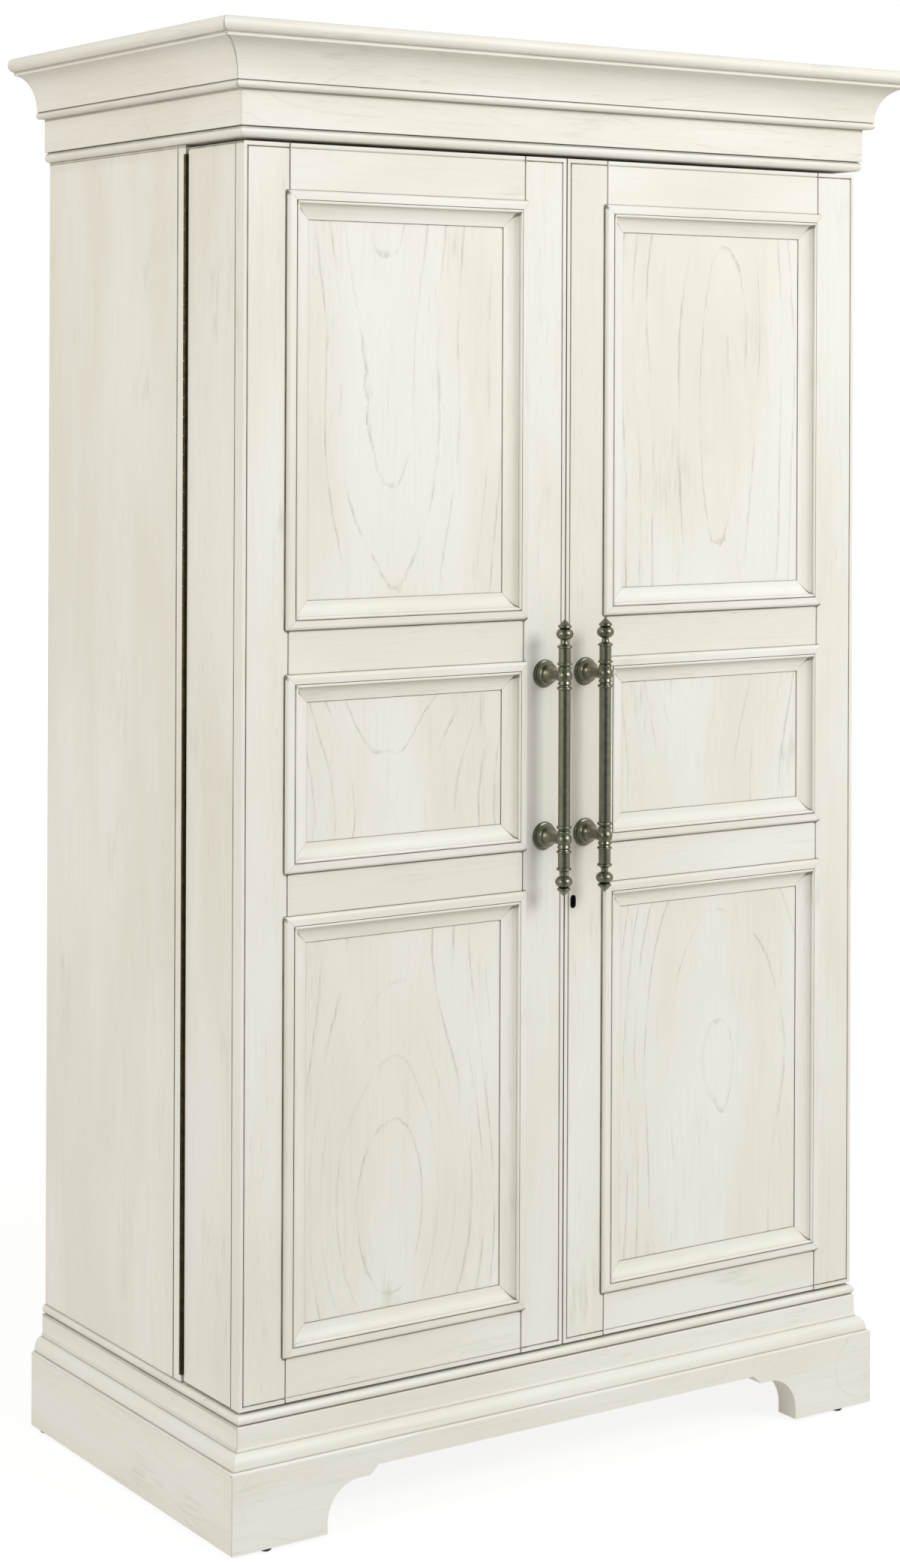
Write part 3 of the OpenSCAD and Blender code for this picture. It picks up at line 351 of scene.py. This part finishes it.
def board_group(grain, figure, glaze_and_shade):
    """Stores each board's own coordinates. grain is 0, 1 or 2 for x, y or z, or None for its longest side.
    figure is how strongly its growth rings show, and the last argument how much dark glaze and painted shade
    it takes in its grooves and below and to the left of what stands proud."""
    g, t, start, end = geometry_group(f"board_{grain}_{figure}")
    island = t.node("GeometryNodeInputMeshIsland").outputs["Island Index"]
    place = t.node("GeometryNodeInputPosition").outputs[0]
    span = t.node("GeometryNodeFieldMinAndMax", data_type="FLOAT_VECTOR", domain="POINT")
    value_socket, group_socket = [s for s in span.inputs if s.enabled]
    t.put(place, value_socket)
    t.put(island, group_socket)
    low, high = [s for s in span.outputs if s.enabled]
    size = t.xyz(t.vmath("SUBTRACT", high, low))
    own = t.xyz(t.vmath("SUBTRACT", place, t.vmath("MULTIPLY", t.vmath("ADD", low, high), (0.5, 0.5, 0.5))))

    def larger(i, j):
        return t.math("GREATER_THAN", size[i], size[j])

    if grain is None:
        is_x = t.math("MULTIPLY", larger(0, 1), larger(0, 2))
        is_y = t.math("MULTIPLY", larger(1, 0), larger(1, 2))
        picks = (is_x, is_y, t.math("SUBTRACT", t.math("SUBTRACT", 1.0, is_x), is_y))
    else:
        picks = tuple(float(i == grain) for i in range(3))

    def sum_of(terms):
        return t.math("ADD", t.math("ADD", terms[0], terms[1]), terms[2])

    along = sum_of([t.math("MULTIPLY", picks[i], own[i]) for i in range(3)])
    across, thick = [], []
    for i in range(3):
        a, b = [j for j in range(3) if j != i]
        wide = larger(a, b)
        flip = t.math("SUBTRACT", 1.0, wide)
        across.append(t.math("MULTIPLY", picks[i], t.math(
            "ADD", t.math("MULTIPLY", wide, own[a]), t.math("MULTIPLY", flip, own[b]))))
        thick.append(t.math("MULTIPLY", picks[i], t.math(
            "ADD", t.math("MULTIPLY", flip, own[a]), t.math("MULTIPLY", wide, own[b]))))
    # A number that differs from board to board, scrambled from where the board is
    where = t.xyz(t.vmath("ADD", low, high))
    mixed = sum_of([t.math("MULTIPLY", c, k) for c, k in zip(where, (12.9898, 78.233, 37.719))])
    seed = t.math("FRACT", t.math("MULTIPLY", t.math("SINE", mixed), 43.758))

    geometry = start.outputs[0]
    for name, kind, value in (
        ("board", "FLOAT_VECTOR", t.vector(sum_of(across), sum_of(thick), along)),
        ("board_seed", "FLOAT", seed),
        ("board_figure", "FLOAT", figure),
        ("board_glaze_and_shade", "FLOAT", glaze_and_shade),
    ):
        store = t.node("GeometryNodeStoreNamedAttribute", data_type=kind, domain="POINT")
        t.put(geometry, store.inputs["Geometry"])
        t.put(name, store.inputs["Name"])
        t.put(value, [s for s in store.inputs if s.name == "Value" and s.enabled][0])
        geometry = store.outputs[0]
    t.put(geometry, end.inputs[0])
    return g


SMOOTHING = smoothing_group()
PANEL_BOARDS = board_group(2, 1.0, 1.0)
TRIM_BOARDS = board_group(None, 0.35, 0.5)
BAND_BOARDS = board_group(None, 0.06, 0.5)
PLAIN_BOARDS = board_group(None, 0.08, 1.0)
PANELS = ("door_left_panels", "door_right_panels", "case_back")
TRIM = ("crown_front", "crown_left", "crown_right", "frieze_boards", "plinth_front_board", "fixed_shelf",
        "adjustable_shelves", "case_bottom", "case_top", "dust_board", "door_left_shelves",
        "door_right_shelves")
BANDS = ("plinth_left_board", "plinth_right_board", "base_moulding_front", "base_moulding_left",
         "base_moulding_right", "base_deck", "soffit_board")
BOARD_GROUPS = ((PANELS, PANEL_BOARDS), (TRIM, TRIM_BOARDS), (BANDS, BAND_BOARDS))
WOODS = ("white_washed_wood", "clear_finished_wood")
SLOT_OF = {s["node"]: s["material_slot"] for s in frame["record"]["subparts"]}


def finish_node(name, ob):
    slot = SLOT_OF[name]
    weld = ob.modifiers.new("weld", "WELD")
    weld.merge_threshold = WELD_DISTANCE
    if slot in WOODS:
        boards = ob.modifiers.new("boards", "NODES")
        boards.node_group = next((g for names, g in BOARD_GROUPS if name in names), PLAIN_BOARDS)
        bevel = ob.modifiers.new("bevel", "BEVEL")
        bevel.width = EASED_EDGE
        bevel.segments = 2
        bevel.limit_method = "ANGLE"
        bevel.angle_limit = EASED_ANGLE
        bevel.use_clamp_overlap = True
    smooth = ob.modifiers.new("smooth", "NODES")
    smooth.node_group = SMOOTHING
    if slot in WOODS:
        weights = ob.modifiers.new("weights", "WEIGHTED_NORMAL")
        weights.keep_sharp = True
    ob.material_slots[0].link = "OBJECT"
    ob.material_slots[0].material = MATERIALS[slot]


for node_name, node_object in NODES.items():
    finish_node(node_name, node_object)


# ---------------------------------------------------------------- screws and nails

# Radius and height of the heads
HINGE_SCREW = (0.0028, 0.0004)
PULL_SCREW = (0.004, 0.0018)
BACK_NAIL = (0.0022, 0.0006)
HINGE_SCREW_COUNT, HINGE_SCREW_INSET = 14, 0.03
LEAF_THICKNESS, LEAF_SCREW_LINE = 0.0012, 0.009
NAIL_COLUMNS, NAIL_ROWS, NAIL_INSET = 9, 14, 0.009


def outward_frame(place, outward):
    """A matrix whose Z points outward at the place."""
    outward = Vector(outward)
    side = outward.orthogonal().normalized()
    matrix = Matrix((side, outward.cross(side), outward)).transposed().to_4x4()
    matrix.translation = Vector(place)
    return matrix


def ring_of(bm, matrix, radius, height, steps):
    return [bm.verts.new(matrix @ Vector((radius * math.cos(2 * math.pi * i / steps),
                                          radius * math.sin(2 * math.pi * i / steps), height)))
            for i in range(steps)]


def join_rings(bm, low, high):
    for i in range(len(low)):
        j = (i + 1) % len(low)
        bm.faces.new((low[i], low[j], high[j], high[i]))


def screw_head(bm, place, outward, size, turn):
    """Countersunk head with a sunk cross, its rim at place and its face turned outward."""
    radius, height = size
    matrix = outward_frame(place, outward) @ Matrix.Rotation(turn, 4, "Z")
    steps, arm, width = 24, radius * 0.62, radius * 0.17
    base = ring_of(bm, matrix, radius, 0, steps)
    rim = ring_of(bm, matrix, radius, height * 0.5, steps)
    top = ring_of(bm, matrix, radius * 0.88, height, steps)
    join_rings(bm, base, rim)
    join_rings(bm, rim, top)
    bm.faces.new(list(reversed(base)))
    cross = [(width, arm), (width, width), (arm, width), (arm, -width), (width, -width), (width, -arm),
             (-width, -arm), (-width, -width), (-arm, -width), (-arm, width), (-width, width), (-width, arm)]
    mouth = [bm.verts.new(matrix @ Vector((x, y, height))) for x, y in cross]
    floor = [bm.verts.new(matrix @ Vector((x * 0.8, y * 0.8, height * 0.2))) for x, y in cross]
    edges = [bm.edges.get((top[i], top[(i + 1) % steps])) for i in range(steps)]
    edges += [bm.edges.new((mouth[i], mouth[(i + 1) % 12])) for i in range(12)]
    filled = bmesh.ops.triangle_fill(bm, edges=edges, normal=Vector(outward))
    over_cross = [f for f in filled["geom"] if isinstance(f, bmesh.types.BMFace)
                  and all(v in mouth for v in f.verts)]
    bmesh.ops.delete(bm, geom=over_cross, context="FACES_ONLY")
    for i in range(12):
        j = (i + 1) % 12
        bm.faces.new((mouth[i], floor[i], floor[j], mouth[j]))
    bm.faces.new(floor)


def nail_head(bm, place, outward, size):
    """Low domed head, its rim at place."""
    radius, height = size
    matrix = outward_frame(place, outward)
    rings = [ring_of(bm, matrix, radius * r, height * z, 14)
             for r, z in ((1.0, 0.0), (1.0, 0.45), (0.8, 0.85), (0.4, 1.0))]
    bm.faces.new(list(reversed(rings[0])))
    for low, high in zip(rings, rings[1:]):
        join_rings(bm, low, high)
    bm.faces.new(rings[-1])


def new_object(name, bm):
    mesh = bpy.data.meshes.new(name)
    bm.to_mesh(mesh)
    bm.free()
    ob = bpy.data.objects.new(name, mesh)
    scene.collection.objects.link(ob)
    return ob


def add_piece(name, body, slot, bm):
    bmesh.ops.recalc_face_normals(bm, faces=bm.faces)
    ob = new_object(name, bm)
    ob.data.materials.append(MATERIALS[slot])
    smooth = ob.modifiers.new("smooth", "NODES")
    smooth.node_group = SMOOTHING
    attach(ob, body)


def spread(low, high, count):
    return [low + (high - low) * i / (count - 1) for i in range(count)]


leaf_low, leaf_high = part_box("door_left_hinge_leaf")
door_back_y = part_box("door_left_outer_return")[1].y
strip_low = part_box("case_edge_strips")[0]
screw_x = abs(strip_low.x) - LEAF_SCREW_LINE
screw_z = spread(leaf_low.z + HINGE_SCREW_INSET, leaf_high.z - HINGE_SCREW_INSET, HINGE_SCREW_COUNT)

for side, body in ((-1, "door_left"), (1, "door_right")):
    bm = bmesh.new()
    for k, z in enumerate(screw_z):
        screw_head(bm, (side * screw_x, door_back_y + LEAF_THICKNESS, z), (0, 1, 0), HINGE_SCREW, k * 0.7)
    add_piece(f"{body}_hinge_screws", body, "dark_bronze", bm)

bm = bmesh.new()
for side in (-1, 1):
    for k, z in enumerate(screw_z):
        screw_head(bm, (side * screw_x, strip_low.y - LEAF_THICKNESS, z), (0, -1, 0), HINGE_SCREW,
                   k * 0.9 + side)
add_piece("case_hinge_screws", "case", "dark_bronze", bm)

for body in ("door_left", "door_right"):
    posts_low, posts_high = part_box(f"{body}_pull_posts")
    stile_back_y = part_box(f"{body}_meeting_stile")[1].y
    post_x = (posts_low.x + posts_high.x) / 2
    post_r = (posts_high.x - posts_low.x) / 2
    bm = bmesh.new()
    for k, z in enumerate((posts_low.z + post_r, posts_high.z - post_r)):
        screw_head(bm, (post_x, stile_back_y, z), (0, 1, 0), PULL_SCREW, 0.4 + k)
    add_piece(f"{body}_pull_screws", body, "bright_steel", bm)


# ---------------------------------------------------------------- keyhole

KEYHOLE_HALF_WIDTH, KEYHOLE_HALF_HEIGHT = 0.00428, 0.00868
KEYHOLE_FROM_EDGE = 0.0137
LINER_WALL, LINER_LIP, LINER_DEPTH = 0.0006, 0.0003, 0.0055


def keyhole_outline(half_w, half_h, steps=12):
    """A slot with round ends, as (x, z) points."""
    straight = half_h - half_w
    points = []
    for i in range(2 * steps + 2):
        upper = i <= steps
        a = math.pi * (i if upper else i - 1) / steps
        points.append((half_w * math.cos(a), half_w * math.sin(a) + (straight if upper else -straight)))
    return points


def keyhole_shade_sleeve():
    """Thin black sleeve round the keyhole, from the stile's face to the lock: painted shade, dark walls
    standing in for the shade inside the hole.
    """
    stile_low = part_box("door_right_meeting_stile")[0]
    lock_low, lock_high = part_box("lock_case")
    centre_x = stile_low.x + KEYHOLE_FROM_EDGE
    centre_z = (lock_low.z + lock_high.z) / 2
    bm = bmesh.new()
    rings = []
    section = ((0.0, LINER_DEPTH), (0.0, -LINER_LIP), (LINER_WALL, -LINER_LIP), (LINER_WALL, LINER_DEPTH))
    for wall, y in section:
        outline = keyhole_outline(KEYHOLE_HALF_WIDTH - wall, KEYHOLE_HALF_HEIGHT - wall)
        rings.append([bm.verts.new((centre_x + x, stile_low.y + y, centre_z + z)) for x, z in outline])
    for k, ring in enumerate(rings):
        join_rings(bm, ring, rings[(k + 1) % len(rings)])
    add_piece("keyhole_shade_sleeve", "door_right", "black_nylon", bm)


keyhole_shade_sleeve()


# ---------------------------------------------------------------- nails in the back panel

back_low, back_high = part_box("case_back")
nail_x = spread(back_low.x + NAIL_INSET, back_high.x - NAIL_INSET, NAIL_COLUMNS)
nail_z = spread(back_low.z + NAIL_INSET, back_high.z - NAIL_INSET, NAIL_ROWS)
places = [(x, z) for x in nail_x for z in (nail_z[0], nail_z[-1])]
places += [(x, z) for z in nail_z[1:-1] for x in (nail_x[0], nail_x[-1])]
bm = bmesh.new()
for x, z in places:
    nail_head(bm, (x, back_high.y, z), (0, 1, 0), BACK_NAIL)
add_piece("back_panel_nails", "case", "bright_steel", bm)


# ---------------------------------------------------------------- floor, light and camera

FLOOR_RADIUS, FLOOR_RINGS, FLOOR_STEPS = 4.0, 10, 64
# The floor's shadows fade out between these distances, into the white background
FLOOR_FADE = (0.9, 3.2)
FLOOR_ALPHA = 0.24
AIM = (0.0, -0.1, 0.95)
# Name, place, side length, power and colour
LIGHTS = (
    ("key", (1.5, -3.9, 3.0), 1.7, 96, (1.0, 0.996, 0.992)),
    ("side", (-4.6, -0.4, 2.5), 2.4, 70, (1.0, 0.965, 0.9)),
)
CAMERA_PLACE = (-2.3464, -3.46855, 1.4485)
CAMERA_YAW, CAMERA_ROLL = 0.5884, 0.004
CAMERA_LENS, CAMERA_SENSOR, CAMERA_SHIFT = 68.41, 36, -0.2513


def stage_floor():
    bm = bmesh.new()
    centre = bm.verts.new((0, 0, 0))
    rings = [ring_of(bm, Matrix(), FLOOR_RADIUS * k / FLOOR_RINGS, 0, FLOOR_STEPS)
             for k in range(1, FLOOR_RINGS + 1)]
    for i in range(FLOOR_STEPS):
        bm.faces.new((centre, rings[0][i], rings[0][(i + 1) % FLOOR_STEPS]))
    for inner, outer in zip(rings, rings[1:]):
        join_rings(bm, outer, inner)
    ob = new_object("floor", bm)
    m, t, shader = material("floor")
    place = t.node("ShaderNodeTexCoord").outputs["Object"]
    tone = t.mix(t.noise(place, 3.0, 3.0), (0.93, 0.93, 0.93, 1), (0.96, 0.96, 0.96, 1))
    t.put(tone, shader.inputs["Base Color"])
    shader.inputs["Roughness"].default_value = 0.9
    t.put(t.ramp(t.vmath("LENGTH", place), FLOOR_FADE[0], FLOOR_FADE[1], FLOOR_ALPHA, 0.0),
          shader.inputs["Alpha"])
    ob.data.materials.append(m)


def area_light(name, place, side, power, colour):
    data = bpy.data.lights.new(name, "AREA")
    data.shape = "RECTANGLE"
    data.size = data.size_y = side
    data.energy = power
    data.color = colour
    ob = bpy.data.objects.new(name, data)
    ob.location = place
    ob.rotation_euler = (Vector(AIM) - Vector(place)).to_track_quat("-Z", "Y").to_euler()
    scene.collection.objects.link(ob)


def surroundings():
    """White behind the object, soft ambient light that is warmer from below and, for the metal to reflect, a
    room that is darker towards the camera."""
    world = bpy.data.worlds.new("studio")
    scene.world = world
    world.use_nodes = True
    t = Tree(world.node_tree)
    t.tree.nodes.clear()
    x, y, z = t.xyz(t.node("ShaderNodeTexCoord").outputs["Generated"])
    paths = t.node("ShaderNodeLightPath").outputs

    def background(colour, strength):
        n = t.node("ShaderNodeBackground")
        t.put(colour, n.inputs["Color"])
        t.put(strength, n.inputs["Strength"])
        return n.outputs[0]

    def choose(factor, a, b):
        n = t.node("ShaderNodeMixShader")
        for value, socket in zip((factor, a, b), n.inputs):
            t.put(value, socket)
        return n.outputs[0]

    height = t.ramp(z, -0.3, 0.7)
    tint = t.mix(height, (1.0, 0.945, 0.84, 1.0), (0.995, 1.0, 0.97, 1.0))
    ambient = background(tint, t.ramp(z, -0.3, 0.8, 0.51, 0.6))
    sides = t.ramp(t.math("ABSOLUTE", t.math("ADD", x, 0.35)), 0.25, 0.75, 0.12, 0.75)
    behind = t.ramp(y, -0.3, 0.4, 0.0, 0.8)
    mirror = background((1.0, 0.995, 0.96, 1.0), t.math("MAXIMUM", sides, behind))
    seen = background((1.0, 1.0, 1.0, 1.0), 1.1)
    lit = choose(paths["Is Glossy Ray"], ambient, mirror)
    out = t.node("ShaderNodeOutputWorld")
    t.put(choose(paths["Is Camera Ray"], lit, seen), out.inputs[0])


def photo_camera():
    """The photograph's camera: level, turned to the right, with its picture shifted down."""
    data = bpy.data.cameras.new("camera")
    data.sensor_width = CAMERA_SENSOR
    data.lens = CAMERA_LENS
    data.shift_y = CAMERA_SHIFT
    data.clip_end = 50
    ob = bpy.data.objects.new("camera", data)
    scene.collection.objects.link(ob)
    ob.matrix_world = (Matrix.Translation(CAMERA_PLACE) @ Matrix.Rotation(-CAMERA_YAW, 4, "Z")
                       @ Matrix.Rotation(math.pi / 2, 4, "X") @ Matrix.Rotation(CAMERA_ROLL, 4, "Z"))
    scene.camera = ob


stage_floor()
surroundings()
for light in LIGHTS:
    area_light(*light)
photo_camera()
